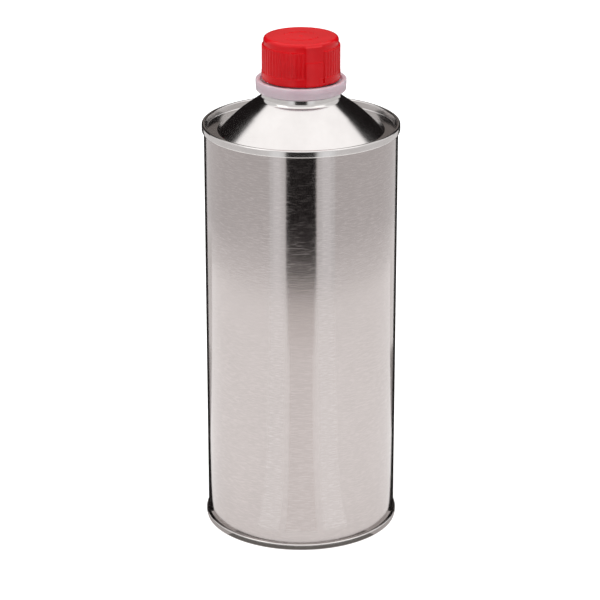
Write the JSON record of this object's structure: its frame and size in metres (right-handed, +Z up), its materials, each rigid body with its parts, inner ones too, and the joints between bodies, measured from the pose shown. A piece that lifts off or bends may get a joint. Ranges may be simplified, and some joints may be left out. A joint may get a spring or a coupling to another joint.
{
  "type": "paint can",
  "caption": "Tall round tinplate can with a cone top, a snapped-on plastic pouring spout and a ribbed push-and-turn screw cap.",
  "frame": {"origin": "centre of the circle that the bottom seam stands on", "axes": "+Z up along the can's axis to the cap; -Y is the front, with the cap's first boss 20 degrees to its right, and the wall's weld is at the back on +Y"},
  "size_m": [0.0872, 0.0872, 0.2265],
  "materials": {
    "tinplate_wall": "bright tinplate with a fine grain round the wall",
    "tinplate_ends": "bright drawn tinplate",
    "sealing_compound": "cured lining compound",
    "natural_plastic": "translucent natural polyethylene",
    "liner_foam": "closed-cell foam",
    "inner_cap_plastic": "satin natural polypropylene",
    "red_plastic": "semi-gloss moulded"
  },
  "bodies": {
    "can": {"can_body": "tinplate_wall", "bottom_end": "tinplate_ends", "cone_top": "tinplate_ends", "bottom_seam_compound": "sealing_compound", "top_seam_compound": "sealing_compound", "pouring_spout": "natural_plastic"},
    "liner": {"cap_liner": "liner_foam"},
    "inner_cap": {"inner_cap": "inner_cap_plastic"},
    "outer_cap": {"outer_cap": "red_plastic"}
  },
  "joints": [
    {"name": "cap_lift", "type": "slide", "parent": "can", "child": "liner", "axis": [0, 0, 1], "range_m": [0, 0.018]},
    {"name": "cap_turn", "type": "hinge", "parent": "liner", "child": "inner_cap", "pos_m": [0, 0, 0.215], "axis": [0, 0, 1], "range_deg": [0, 1801]},
    {"name": "cap_push", "type": "slide", "parent": "inner_cap", "child": "outer_cap", "axis": [0, 0, -1], "range_m": [0, 0.0011], "stiffness_N_per_m": 8000}
  ],
  "couplings": [
    {"joint": "cap_turn", "follows": "cap_lift", "rad_per_m": 1745.3}
  ]
}
